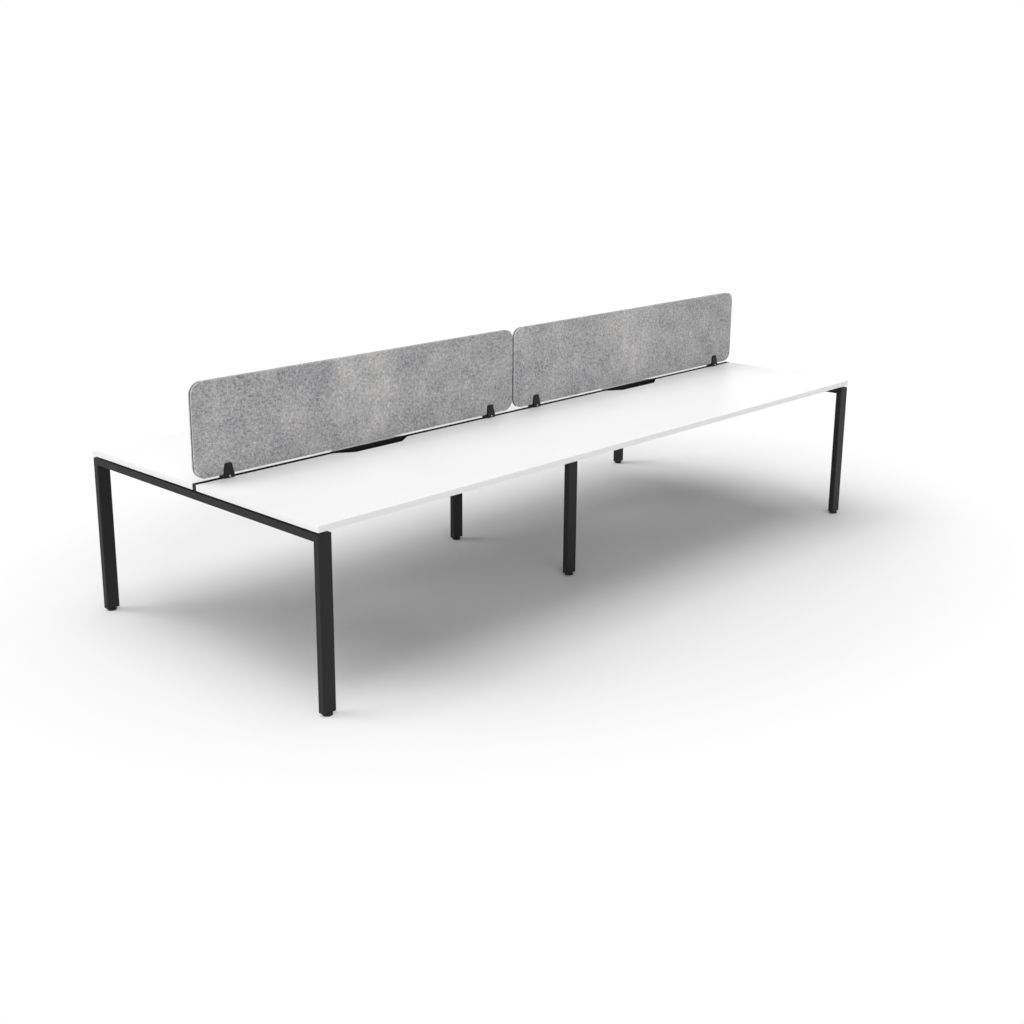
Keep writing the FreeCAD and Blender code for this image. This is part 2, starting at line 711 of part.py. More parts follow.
end_fixings = [("0", "0")]
middle_fixings = [("-fixing_from_seam", "0"), ("fixing_from_seam", "0")]
for side in (-1, 1):
    end_fixings.append(("0", f"{side} * {rear_fixing_y}"))
    end_fixings.append(("0", f"{side} * {front_fixing_y}"))
    for end in (-1, 1):
        middle_fixings.append((f"{end} * fixing_from_seam", f"{side} * {middle_fixing_y}"))
pieces.append(makeRail("end_rail_left", desk_depth, f"-{end_frame_x}", 0, end_fixings, [True]))
pieces.append(makeRail("end_rail_right", desk_depth, end_frame_x, 180, end_fixings, [True]))
pieces.append(makeRail("middle_rail", "middle_frame_depth", "0", 0, middle_fixings, [True, False]))

pieces.append(makeStrip("centre_strip_left", 0))
pieces.append(makeStrip("centre_strip_right", 180))

for number, x in clip_places.items():
    pieces.append(makeClipBlock(f"clip_block_{number}", x))
    pieces.append(makeClipJaw(f"clip_front_jaw_{number}", x, 0))
    pieces.append(makeClipJaw(f"clip_rear_jaw_{number}", x, 180))

bracket_screw = screwPattern("bracket_screw", "machine_screw_head_radius", "machine_screw_head_height",
                             "machine_screw_radius",
                             "(bracket_flange_thickness + tube_wall + bracket_screw_reach)")
lock_screw = screwPattern("lock_screw", "machine_screw_head_radius", "machine_screw_head_height",
                          "machine_screw_radius",
                          "(tube_wall + bracket_tongue_clearance + bracket_tongue_wall + lock_screw_reach)")
worktop_screw = screwPattern("worktop_screw", "worktop_screw_head_radius", "worktop_screw_head_height",
                             "worktop_screw_radius", f"(tube_wall + shadow_gap + {worktop_screw_bite})")
clip_screw = screwPattern("clip_screw", "clip_screw_head_radius", "clip_screw_head_height",
                          "clip_screw_radius",
                          "(screen_thickness + 2 * clip_foot_thickness - clip_screw_short_of_face)")
block_screw = screwPattern("block_screw", "block_screw_head_radius", "block_screw_head_height",
                           "block_screw_radius",
                           f"(clip_block_height - {block_screw_sink} + strip_wall + block_screw_reach)")

pieces.append(group("beam_brackets", makeBracketPattern(), bracketPlaces()))
pieces.append(group("bracket_screws", bracket_screw, bracketScrewPlaces()))
pieces.append(group("beam_lock_screws", lock_screw, lockScrewPlaces()))
pieces.append(group("worktop_spacers", makeSpacerPattern(),
                    [dict(x=x, y=y, z=frame_top) for x, y in fixingPlaces()]))
pieces.append(group("worktop_screws", worktop_screw,
                    [dict(x=x, y=y, z=f"{frame_top} - tube_wall") for x, y in fixingPlaces()]))
pieces.append(group("strip_end_caps", makeCapPattern(), [
    dict(x="-desk_length / 2", z=worktop_underside),
    dict(x="desk_length / 2", z=worktop_underside, angle=180),
]))
pieces.append(group("clip_clamp_screws", clip_screw, [
    dict(x=x, y="-screen_thickness / 2 - clip_foot_thickness", z="desk_height + clip_screw_height",
         axis=(1, 0, 0), angle=-90)
    for x in clip_places.values()
]))
pieces.append(group("clip_block_screws", block_screw, [
    dict(x=f"{x} + {offset} * {block_screw_offset}",
         z=f"desk_height + clip_block_height - {block_screw_sink}", axis=(1, 0, 0), angle=180)
    for x in clip_places.values() for offset in (-1, 1)
]))

doc.recompute()
for thing in doc.Objects:
    if {"Invalid", "Error"} & set(thing.State):
        raise RuntimeError(f"{thing.Label} failed: {thing.State}")
for piece in pieces:
    if piece.Shape.isNull() or not piece.Shape.isValid():
        raise RuntimeError(f"{piece.Label} has no sound shape")
os.makedirs("parts", exist_ok=True)
for piece in pieces:
    piece.Shape.exportStep(f"parts/{piece.Label}.step")
print(f"{len(pieces)} sub-parts, {sum(len(piece.Shape.Solids) for piece in pieces)} solids")
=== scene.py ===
import bpy
import math
from mathutils import Matrix, Vector


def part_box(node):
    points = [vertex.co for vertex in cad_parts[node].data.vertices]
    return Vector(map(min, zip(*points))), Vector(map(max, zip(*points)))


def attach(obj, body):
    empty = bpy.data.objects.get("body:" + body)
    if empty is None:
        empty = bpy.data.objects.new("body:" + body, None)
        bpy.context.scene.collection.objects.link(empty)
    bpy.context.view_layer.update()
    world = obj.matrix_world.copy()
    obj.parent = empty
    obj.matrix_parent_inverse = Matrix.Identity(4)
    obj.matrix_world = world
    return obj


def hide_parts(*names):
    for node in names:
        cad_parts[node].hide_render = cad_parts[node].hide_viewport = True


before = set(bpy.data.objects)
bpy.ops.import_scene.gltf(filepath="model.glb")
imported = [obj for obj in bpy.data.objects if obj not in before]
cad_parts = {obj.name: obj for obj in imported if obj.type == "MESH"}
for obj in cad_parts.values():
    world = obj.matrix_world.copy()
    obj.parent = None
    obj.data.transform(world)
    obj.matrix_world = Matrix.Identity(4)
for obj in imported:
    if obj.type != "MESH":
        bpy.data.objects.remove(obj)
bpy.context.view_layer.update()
print("frame loaded:", len(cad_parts), "nodes")

mm = 0.001
depthwise, upright = 1, 2  # the axes y and z
setup = bpy.context.scene
setup.view_settings.view_transform = "Standard"


def clearSelection():
    if bpy.context.object and bpy.context.object.mode != "OBJECT":
        bpy.ops.object.mode_set(mode="OBJECT")
    bpy.ops.object.select_all(action="DESELECT")


def makeActive(piece):
    clearSelection()
    bpy.context.view_layer.objects.active = piece
    piece.select_set(True)


def settle(name, scale=(1, 1, 1)):
    # names the new primitive, and puts its place and size in its mesh
    piece = bpy.context.object
    piece.name = name
    piece.data.name = name
    piece.scale = scale
    bpy.ops.object.transform_apply(location=True, rotation=True, scale=True)
    return piece


def startBlock(name, low, high):
    # a cube primitive stretched to a box
    clearSelection()
    low, high = Vector(low), Vector(high)
    bpy.ops.mesh.primitive_cube_add(size=1, location=(low + high) / 2)
    return settle(name, high - low)


def startUpright(name, radius, low, high, sides):
    # a cylinder primitive about the z axis
    clearSelection()
    place = (0, 0, (low + high) / 2)
    bpy.ops.mesh.primitive_cylinder_add(vertices=sides, radius=radius, depth=high - low, location=place)
    return settle(name)


def startLying(name, radius, low, high, sides, x, z):
    # a cylinder primitive that lies along the y axis
    clearSelection()
    place, turn = (x, (low + high) / 2, z), (math.pi / 2, 0, 0)
    bpy.ops.mesh.primitive_cylinder_add(vertices=sides, radius=radius, depth=high - low,
                                        location=place, rotation=turn)
    return settle(name)


def openEdit(piece, kind="VERT", action="SELECT"):
    makeActive(piece)
    bpy.ops.object.mode_set(mode="EDIT")
    bpy.ops.mesh.select_mode(type=kind)
    bpy.ops.mesh.select_all(action=action)


def closeEdit():
    bpy.ops.object.mode_set(mode="OBJECT")


def pick(piece, kind, test):
    # opens the piece for editing with the vertices, edges or faces selected that pass the test
    openEdit(piece, kind, "DESELECT")
    closeEdit()
    mesh = piece.data
    if kind == "VERT":
        for vertex in mesh.vertices:
            vertex.select = test(vertex.co)
    elif kind == "EDGE":
        for edge in mesh.edges:
            a, b = (mesh.vertices[i].co for i in edge.vertices)
            edge.select = test(a, b)
    else:
        for face in mesh.polygons:
            face.select = test(face.center, face.normal)
    bpy.ops.object.mode_set(mode="EDIT")


def moveCorners(piece, test, step):
    pick(piece, "VERT", test)
    bpy.ops.transform.translate(value=step)
    closeEdit()


def roundOff(piece, test, radius, steps):
    pick(piece, "EDGE", test)
    bpy.ops.mesh.bevel(offset=radius, segments=steps, profile=0.5, clamp_overlap=True)
    closeEdit()


def drawOut(piece, test, inset, step):
    # insets the faces that pass the test, and pushes what is inside out or in
    pick(piece, "FACE", test)
    bpy.ops.mesh.inset(thickness=inset, depth=0)
    bpy.ops.mesh.extrude_region_move(TRANSFORM_OT_translate={"value": step})
    closeEdit()


def cutAcross(piece, point, normal):
    openEdit(piece)
    bpy.ops.mesh.bisect(plane_co=point, plane_no=normal)
    closeEdit()


def applyModifier(piece, kind, **settings):
    makeActive(piece)
    modifier = piece.modifiers.new(kind.title(), kind)
    for key, value in settings.items():
        setattr(modifier, key, value)
    bpy.ops.object.modifier_apply(modifier=modifier.name)


def cutWith(piece, cutter, operation="DIFFERENCE"):
    applyModifier(piece, "BOOLEAN", operation=operation, object=cutter, solver="EXACT")
    bpy.data.objects.remove(cutter)


def smooth(piece, angle=35):
    makeActive(piece)
    bpy.ops.object.shade_smooth_by_angle(angle=math.radians(angle))


def copyPiece(piece, name, placing):
    twin = piece.copy()
    twin.data = piece.data.copy()
    twin.name = name
    twin.data.name = name
    setup.collection.objects.link(twin)
    twin.data.transform(placing)
    return twin


def joinPieces(pieces, name):
    makeActive(pieces[0])
    for piece in pieces[1:]:
        piece.select_set(True)
    bpy.ops.object.join()
    pieces[0].name = name
    pieces[0].data.name = name
    return pieces[0]


def dress(piece, finishes):
    piece.data.materials.clear()
    for finish in finishes:
        piece.data.materials.append(finish)


def dressSelection(piece, index):
    # gives the faces selected in edit mode one of the piece's finishes
    piece.active_material_index = index
    bpy.ops.object.material_slot_assign()


def standFor(piece, node, body):
    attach(piece, body)
    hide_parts(node)


def along(a, b, axis):
    # true for an edge that runs along one axis
    step = b - a
    return abs(step[axis]) > 0.99 * step.length


def close(value, wanted, within=0.2 * mm):
    return abs(value - wanted) < within


def looks(normal, axis, side):
    # true for a flat face that looks to one side along an axis
    return normal[axis] * side > 0.99


def middleAcross(node):
    low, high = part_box(node)
    return (low.x + high.x) / 2


class Signal:
    # a shader value, on which sums and products add Math nodes
    def __init__(self, sheet, socket):
        self.sheet = sheet
        self.socket = socket

    def combine(self, operation, *values):
        return self.sheet.node("ShaderNodeMath", {"operation": operation}, dict(enumerate(values)))["Value"]

    def __add__(self, other):
        return self.combine("ADD", self, other)

    def __radd__(self, other):
        return self.combine("ADD", other, self)

    def __sub__(self, other):
        return self.combine("SUBTRACT", self, other)

    def __rsub__(self, other):
        return self.combine("SUBTRACT", other, self)

    def __mul__(self, other):
        return self.combine("MULTIPLY", self, other)

    def __rmul__(self, other):
        return self.combine("MULTIPLY", other, self)

    def __truediv__(self, other):
        return self.combine("DIVIDE", self, other)

    def absolute(self):
        return self.combine("ABSOLUTE", self)

    def larger(self, other):
        return self.combine("MAXIMUM", self, other)

    def within(self):
        # kept from 0 to 1
        return self.combine("MINIMUM", self.larger(0.0), 1.0)


class NodeSheet:
    # the nodes of a material or of the world
    def __init__(self, owner):
        owner.use_nodes = True
        self.tree = owner.node_tree
        self.tree.nodes.clear()

    def node(self, kind, settings, values):
        # adds any node: its settings, then the values or links of its sockets
        made = self.tree.nodes.new(kind)
        for key, value in settings.items():
            setattr(made, key, value)
        for key, value in values.items():
            if isinstance(value, Signal):
                self.tree.links.new(value.socket, made.inputs[key])
            else:
                made.inputs[key].default_value = value
        return {out.name: Signal(self, out) for out in made.outputs if out.enabled}


class Finish(NodeSheet):
    # a material, with patterns that lie in the piece's own space
    def __init__(self, name):
        self.material = bpy.data.materials.new(name)
        super().__init__(self.material)
        self.place = self.node("ShaderNodeTexCoord", {}, {})["Object"]

    def stretched(self, scale, shift=(0, 0, 0)):
        values = {"Vector": self.place, "Location": shift, "Scale": scale}
        return self.node("ShaderNodeMapping", {}, values)["Vector"]

    def drawnOut(self, length, turn):
        # draws a pattern out along a direction in the upright plane, for fibres
        values = {"Vector": self.place, "Rotation": (0, math.radians(turn), 0), "Scale": (length, 1, 1)}
        return self.node("ShaderNodeMapping", {"vector_type": "TEXTURE"}, values)["Vector"]

    def noise(self, scale, detail=2.0, roughness=0.5, distortion=0.0, place=None):
        values = {"Vector": place or self.place, "Scale": scale, "Detail": detail,
                  "Roughness": roughness, "Distortion": distortion}
        return self.node("ShaderNodeTexNoise", {}, values)["Fac"]

    def mask(self, value, low, high, rise="LINEAR"):
        # 0 below low, 1 above high
        values = {"Value": value, "From Min": low, "From Max": high}
        return self.node("ShaderNodeMapRange", {"interpolation_type": rise}, values)["Result"]

    def height(self):
        return self.node("ShaderNodeSeparateXYZ", {}, {0: self.place})["Z"]

    def sideways(self):
        return self.node("ShaderNodeSeparateXYZ", {}, {0: self.place})["X"]

    def blend(self, share, first, second, mode="MIX"):
        settings = {"data_type": "RGBA", "blend_type": mode}
        return self.node("ShaderNodeMix", settings, {0: share, 6: first, 7: second})["Result"]

    def raised(self, height, distance, strength=1.0):
        values = {"Height": height, "Distance": distance, "Strength": strength}
        return self.node("ShaderNodeBump", {}, values)["Normal"]

    def shader(self, **sockets):
        values = {key.replace("_", " "): value for key, value in sockets.items()}
        return self.node("ShaderNodeBsdfPrincipled", {}, values)["BSDF"]

    def covered(self, surface):
        self.node("ShaderNodeOutputMaterial", {}, {"Surface": surface})
        return self.material

    def made(self, **sockets):
        return self.covered(self.shader(**sockets))


def grey(level, warm=0.0):
    return (level * (1 + warm), level, level * (1 - warm), 1)


# in the finishes' dictionaries a pattern is a noise's scale, detail, roughness and distortion,
# and a range is where a mask begins and is full
boardFinish = {
    "shades": (grey(0.888), grey(0.912, 0.002)),
    "cloud": (3.0, 3.0),
    "roughness": 0.36,
    "specular": 0.4,
    "smudge": (9.0, 4.0, 0.6),
    "smudgeRange": (0.35, 0.75),
    "smudgeDulls": 0.07,
    "pearl": (900.0, 2.0),
    "pearlShines": 0.04,
    "pearlHeight": 0.02 * mm,
}


def makeBoardFinish(name):
    look = boardFinish
    finish = Finish(name)
    pearl = finish.noise(*look["pearl"])
    smudge = finish.mask(finish.noise(*look["smudge"]), *look["smudgeRange"])
    return finish.made(
        Base_Color=finish.blend(finish.noise(*look["cloud"]), *look["shades"]),
        Roughness=look["roughness"] + smudge * look["smudgeDulls"] - pearl * look["pearlShines"],
        Specular_IOR_Level=look["specular"],
        Normal=finish.raised(pearl, look["pearlHeight"]))


bandFinish = {
    "shades": (grey(0.93), grey(0.95)),
    "lines": (260.0, 2.0),
    "linesDrawn": (0.05, 0.05, 3.0),  # along the band
    "roughness": 0.30,
    "linesDull": 0.10,
    "specular": 0.45,
    "lineHeight": 0.03 * mm,
}


def makeBandFinish(name):
    look = bandFinish
    finish = Finish(name)
    lines = finish.noise(*look["lines"], place=finish.stretched(look["linesDrawn"]))
    return finish.made(
        Base_Color=finish.blend(lines, *look["shades"]),
        Roughness=look["roughness"] + lines * look["linesDull"],
        Specular_IOR_Level=look["specular"],
        Normal=finish.raised(lines, look["lineHeight"]))


jointFinish = {"shades": (grey(0.52, 0.01), grey(0.66, 0.01)), "speck": (700.0, 1.0), "roughness": 0.6}


def makeJointFinish(name):
    look = jointFinish
    finish = Finish(name)
    return finish.made(
        Base_Color=finish.blend(finish.noise(*look["speck"]), *look["shades"]),
        Roughness=look["roughness"])


frameCoat = {
    "black": 0.013,
    "roughness": 0.48,
    "specular": 0.24,
    "peel": (700.0, 3.0, 0.6),
    "peelHeight": 0.12 * mm,
}
stripCoat = {
    "black": 0.014,
    "roughness": 0.75,
    "specular": 0.02,
    "peel": (900.0, 3.0, 0.6),
    "peelHeight": 0.03 * mm,
}
coatDetail = {
    "broad": (6.0, 3.0),
    "broadShades": (0.88, 1.12),  # shares of the coat's black
    "warmth": 0.01,
    "peelDulls": 0.10,
    "fleck": (2600.0, 1.0),
    "fleckRange": (0.66, 0.78),
    "fleckShare": 0.35,
    "fleckShade": 2.4,
    # scuffs from shoes and vacuum cleaners, low on the legs
    "scuff": (38.0, 5.0, 0.65),
    "scuffDrawn": (1.0, 1.0, 0.35),
    "scuffRange": (0.62, 0.74),
    "scuffTop": 200 * mm,
    "scuffShare": 0.30,
    "scuffShade": grey(0.075, 0.03),
    "scuffDulls": 0.15,
}


def makeCoatFinish(name, coat):
    look = coatDetail
    finish = Finish(name)
    peel = finish.noise(*coat["peel"])
    fleck = finish.mask(finish.noise(*look["fleck"]), *look["fleckRange"])
    shades = (grey(coat["black"] * share, look["warmth"]) for share in look["broadShades"])
    base = finish.blend(finish.noise(*look["broad"]), *shades)
    base = finish.blend(fleck * look["fleckShare"], base, grey(coat["black"] * look["fleckShade"]))
    streaks = finish.noise(*look["scuff"], place=finish.stretched(look["scuffDrawn"]))
    scuff = finish.mask(streaks, *look["scuffRange"]) * (1.0 - finish.height() / look["scuffTop"]).within()
    return finish.made(
        Base_Color=finish.blend(scuff * look["scuffShare"], base, look["scuffShade"]),
        Roughness=(coat["roughness"] + peel * look["peelDulls"] + scuff * look["scuffDulls"]).within(),
        Specular_IOR_Level=coat["specular"],
        Normal=finish.raised(peel, coat["peelHeight"]))


nylonFinish = {
    "shades": (grey(0.012), grey(0.022)),
    "spark": (1500.0, 3.0, 0.6),
    "sparkHeight": 0.04 * mm,
    "sparkDulls": 0.14,
    "roughness": 0.50,
    "specular": 0.3,
}


def makeNylonFinish(name):
    look = nylonFinish
    finish = Finish(name)
    spark = finish.noise(*look["spark"])
    return finish.made(
        Base_Color=finish.blend(spark, *look["shades"]),
        Roughness=look["roughness"] + spark * look["sparkDulls"],
        Specular_IOR_Level=look["specular"],
        Normal=finish.raised(spark, look["sparkHeight"]))


clipFinish = {
    "shades": (grey(0.011, 0.01), grey(0.050)),  # the enamel, and where it is rubbed
    "wear": (160.0, 4.0, 0.6),
    "wearRange": (0.62, 0.74),
    "wearShare": 0.3,
    "grain": (900.0, 3.0, 0.55),
    "grainHeight": 0.08 * mm,
    "grainDulls": 0.12,
    "roughness": 0.38,
    "specular": 0.2,
}


def makeClipFinish(name):
    look = clipFinish
    finish = Finish(name)
    grain = finish.noise(*look["grain"])
    wear = finish.mask(finish.noise(*look["wear"]), *look["wearRange"])
    return finish.made(
        Base_Color=finish.blend(wear * look["wearShare"], *look["shades"]),
        Roughness=look["roughness"] + grain * look["grainDulls"],
        Specular_IOR_Level=look["specular"],
        Normal=finish.raised(grain, look["grainHeight"]))


zincFinish = {
    "shades": ((0.55, 0.57, 0.60, 1), (0.72, 0.70, 0.64, 1)),  # bluish to yellowish
    "bloom": (120.0, 4.0, 0.6),
    "bloomDulls": 0.22,
    "grain": (1400.0, 2.0),
    "grainHeight": 0.02 * mm,
    "roughness": 0.30,
}


def makeZincFinish(name):
    look = zincFinish
    finish = Finish(name)
    bloom = finish.noise(*look["bloom"])
    return finish.made(
        Base_Color=finish.blend(bloom, *look["shades"]),
        Metallic=1.0,
        Roughness=look["roughness"] + bloom * look["bloomDulls"],
        Normal=finish.raised(finish.noise(*look["grain"]), look["grainHeight"]))


screwFinish = {
    "shades": (grey(0.44, 0.01), grey(0.56, 0.005)),
    "stain": (300.0, 3.0),
    "turned": (2200.0, 2.0),
    "turnedHeight": 0.01 * mm,
    "turnedDulls": 0.14,
    "roughness": 0.20,
}


def makeScrewFinish(name):
    look = screwFinish
    finish = Finish(name)
    turned = finish.noise(*look["turned"])
    return finish.made(
        Base_Color=finish.blend(finish.noise(*look["stain"]), *look["shades"]),
        Metallic=1.0,
        Roughness=look["roughness"] + turned * look["turnedDulls"],
        Normal=finish.raised(turned, look["turnedHeight"]))


feltFinish = {
    "shades": (grey(0.055), grey(0.77)),
    "contrast": 3.9,
    "middle": 0.585,  # the tone of the faces, from dark to light
    "rimPaintedHighlight": 0.22,  # the rims are painted paler than the faces, a painted highlight on the lit rounded edge
    "marl": (85, 4.0, 0.62, 0.5),  # blotches of some 12 mm
    "marlShare": 0.28,
    "grain": (330, 3.0, 0.6),
    "grainShare": 0.28,
    "cloud": (8, 3.0, 0.55),
    "cloudShare": 0.11,
    # laid fibres, coarse ones and fine ones
    "strandScale": 480,
    "strandShare": 0.34,
    "fibreScale": 1500,
    "fibreShare": 0.16,
    "fibreDetail": (2.0, 0.6, 0.6),
    "fibreLength": 8,
    "fibreTurns": (14, 78, 139),  # three directions that the fibres lie in, in degrees
    "fibreMiddle": 0.60,  # what the uppermost fibres come to on the whole
    # each screen is paler about its middle, at this distance from the desk's centre
    "paleMiddle": 0.903,
    "paleReach": 0.21,
    "paleLift": 0.24,
    "palePatch": (26.0, 3.0, 0.6),
    "palePatchDrawn": (1.0, 1.0, 0.3),
    # a cool and a warm tint over the felt, warmer where it is pale
    "tints": ((0.975, 0.976, 1.0, 1), (1.0, 0.984, 0.980, 1)),
    "tintRange": (0.40, 0.65),
    "paleWarms": 0.3,
    "relief": 0.5 * mm,
    "reliefStrength": 0.7,
    "fibreRelief": 0.5,
    "roughness": 0.95,
    "specular": 0.1,
    "sheen": 0.15,
    "sheenRoughness": 0.5,
}


def layFibres(finish, scale):
    # the uppermost of fibres that lie in several directions, about 0 on the whole
    look = feltFinish
    beds = [finish.noise(scale, *look["fibreDetail"], finish.drawnOut(look["fibreLength"], turn))
            for turn in look["fibreTurns"]]
    return beds[0].larger(beds[1]).larger(beds[2]) - look["fibreMiddle"]


# lift makes the felt paler, for the rims' painted highlight; the faces take 0
def makeFeltFinish(name, lift):
    look = feltFinish
    finish = Finish(name)
    marl, cloud, grain = (finish.noise(*look[pattern]) for pattern in ("marl", "cloud", "grain"))
    strand, fibre = (layFibres(finish, look[scale]) for scale in ("strandScale", "fibreScale"))
    offset = (finish.sideways().absolute() - look["paleMiddle"]) / look["paleReach"]
    patch = finish.noise(*look["palePatch"], place=finish.stretched(look["palePatchDrawn"]))
    pale = (1.0 - offset * offset).within() * patch
    tone = (marl - 0.5) * look["marlShare"] + (grain - 0.5) * look["grainShare"]
    tone = tone + (cloud - 0.5) * look["cloudShare"]
    tone = tone + strand * look["strandShare"] + fibre * look["fibreShare"]
    tone = (tone * look["contrast"] + look["middle"] + lift + pale * look["paleLift"]).within()
    warmth = finish.mask(cloud + pale * look["paleWarms"], *look["tintRange"])
    felt = finish.blend(tone, *look["shades"])
    relief = (fibre + strand) * look["fibreRelief"] + grain + marl
    return finish.made(
        Base_Color=finish.blend(1.0, felt, finish.blend(warmth, *look["tints"]), "MULTIPLY"),
        Roughness=look["roughness"],
        Specular_IOR_Level=look["specular"],
        Sheen_Weight=look["sheen"],
        Sheen_Roughness=look["sheenRoughness"],
        Normal=finish.raised(relief, look["relief"], look["reliefStrength"]))


# the core is near black, which paints the shade in the seam between the two felt panels
corePaintedShadeFinish = {
    "shades": (grey(0.006), grey(0.012)),
    "grain": (500.0, 2.0),
    "roughness": 0.9,
    "specular": 0.1,
}


def makeCorePaintedShadeFinish(name):
    look = corePaintedShadeFinish
    finish = Finish(name)
    return finish.made(
        Base_Color=finish.blend(finish.noise(*look["grain"]), *look["shades"]),
        Roughness=look["roughness"],
        Specular_IOR_Level=look["specular"])


whiteMelamine = makeBoardFinish("whiteMelamine")
whiteEdgeBand = makeBandFinish("whiteEdgeBand")
bandJoint = makeJointFinish("bandJoint")
blackPowderCoat = makeCoatFinish("blackPowderCoat", frameCoat)
matBlackStrip = makeCoatFinish("matBlackStrip", stripCoat)
blackNylon = makeNylonFinish("blackNylon")
blackClipEnamel = makeClipFinish("blackClipEnamel")
zincPlate = makeZincFinish("zincPlate")
brightScrewSteel = makeScrewFinish("brightScrewSteel")
greyMarlFelt = makeFeltFinish("greyMarlFelt", 0.0)
# the rims' felt is painted paler, a painted highlight
feltRimPaintedHighlight = makeFeltFinish("feltRimPaintedHighlight", feltFinish["rimPaintedHighlight"])
screenCorePaintedShade = makeCorePaintedShadeFinish("screenCorePaintedShade")
print("finishes made")


worktop = {
    "bandThickness": 1.0 * mm,
    "jointWidth": 0.15 * mm,
    "edgeRadius": 0.9 * mm,
    "edgeSteps": 3,
    "scallopRear": 211 * mm,  # half its width at the rear edge
    "scallopSlant": 79 * mm,
    "scallopDepth": 50 * mm,
    "scallopRadius": 35 * mm,
    "scallopSteps": 8,
}


def makeWorktop(name, node, towardsStrip):
    low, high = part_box(node)
    piece = startBlock(name, low, high)
    middle = middleAcross(node)
    rearY = high.y if towardsStrip > 0 else low.y
    depth, slant = worktop["scallopDepth"], worktop["scallopSlant"]
    wide = worktop["scallopRear"]
    narrow = wide - slant
    beside = 1 * mm
    for offset in (-wide, -narrow, narrow, wide):
        cutAcross(piece, (middle + offset, 0, 0), (1, 0, 0))
    moveCorners(piece, lambda co: close(co.y, rearY) and abs(co.x - middle) < narrow + beside,
                (0, -towardsStrip * depth, 0))

    def atScallop(a, b):
        return (along(a, b, upright) and abs(a.x - middle) < wide + beside
                and abs(a.y - rearY) < depth + beside)

    # the scallop's four corners are rounded, convex at the rear edge and hollow at its bottom
    tangent = worktop["scallopRadius"] * math.tan(math.atan2(depth, slant) / 2)
    roundOff(piece, atScallop, tangent, worktop["scallopSteps"])
    pick(piece, "FACE", lambda centre, normal: looks(normal, upright, 1) or looks(normal, upright, -1))
    bpy.ops.mesh.dissolve_faces()
    closeEdit()
    roundOff(piece, lambda a, b: close(a.z, b.z), worktop["edgeRadius"], worktop["edgeSteps"])
    dress(piece, [whiteEdgeBand, whiteMelamine, bandJoint])
    for side in (1, -1):
        pick(piece, "FACE", lambda centre, normal: looks(normal, upright, side))
        bpy.ops.mesh.inset(thickness=worktop["bandThickness"] - worktop["edgeRadius"], depth=0)
        dressSelection(piece, 2)  # the joint line
        bpy.ops.mesh.inset(thickness=worktop["jointWidth"], depth=0)
        dressSelection(piece, 1)  # the board's face
        closeEdit()
    smooth(piece, 30)
    standFor(piece, node, "desk")


for end in ("left", "right"):
    makeWorktop(f"boardFront{end.title()}", f"worktop_front_{end}", 1)
    makeWorktop(f"boardBack{end.title()}", f"worktop_back_{end}", -1)
print("worktops made")


screen = {
    "panel": 7.2 * mm,  # two felt panels with a core between them, coloured near black as painted shade in the seam
    "coreInset": 0.8 * mm,
    "cornerRadius": 50 * mm,
    "cornerSteps": 16,
    "outerRound": 1.5 * mm,
    "outerSteps": 5,
    "seamRound": 0.7 * mm,
    "seamSteps": 4,
}


def makeFeltPanel(name, low, high, outerY):
    panel = startBlock(name, low, high)
    roundOff(panel, lambda a, b: along(a, b, depthwise), screen["cornerRadius"], screen["cornerSteps"])
    innerY = low.y + high.y - outerY
    roundOff(panel, lambda a, b: close(a.y, outerY) and close(b.y, outerY),
             screen["outerRound"], screen["outerSteps"])
    roundOff(panel, lambda a, b: close(a.y, innerY) and close(b.y, innerY),
             screen["seamRound"], screen["seamSteps"])
    dress(panel, [greyMarlFelt, feltRimPaintedHighlight])
    pick(panel, "FACE", lambda centre, normal: abs(normal.y) < 0.5)  # the rim, which carries the painted highlight
    dressSelection(panel, 1)
    closeEdit()
    return panel


def makeScreen(name, node):
    low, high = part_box(node)
    thick, inset = screen["panel"], screen["coreInset"]
    front = makeFeltPanel(name, low, Vector((high.x, low.y + thick, high.z)), low.y)
    rear = makeFeltPanel("rearPanel", Vector((low.x, high.y - thick, low.z)), high, high.y)
    core = startBlock("core", (low.x + inset, low.y + thick, low.z + inset),
                      (high.x - inset, high.y - thick, high.z - inset))
    roundOff(core, lambda a, b: along(a, b, depthwise),
             screen["cornerRadius"] - inset, screen["cornerSteps"])
    # the near-black core is painted shade in the seam
    dress(core, [screenCorePaintedShade])
    piece = joinPieces([front, rear, core], name)
    smooth(piece)
    standFor(piece, node, "desk")


makeScreen("feltScreenLeft", "screen_left")
makeScreen("feltScreenRight", "screen_right")
print("screens made")


clip = {
    "taper": 6.5 * mm,
    "lip": 3 * mm,
    "footHeight": 15 * mm,
    "topRound": 6 * mm,
    "topSteps": 6,
    "edgeRound": 1.1 * mm,
    "edgeSteps": 3,
    "screwHole": 2.6 * mm,
    "screwHeight": 8 * mm,
}


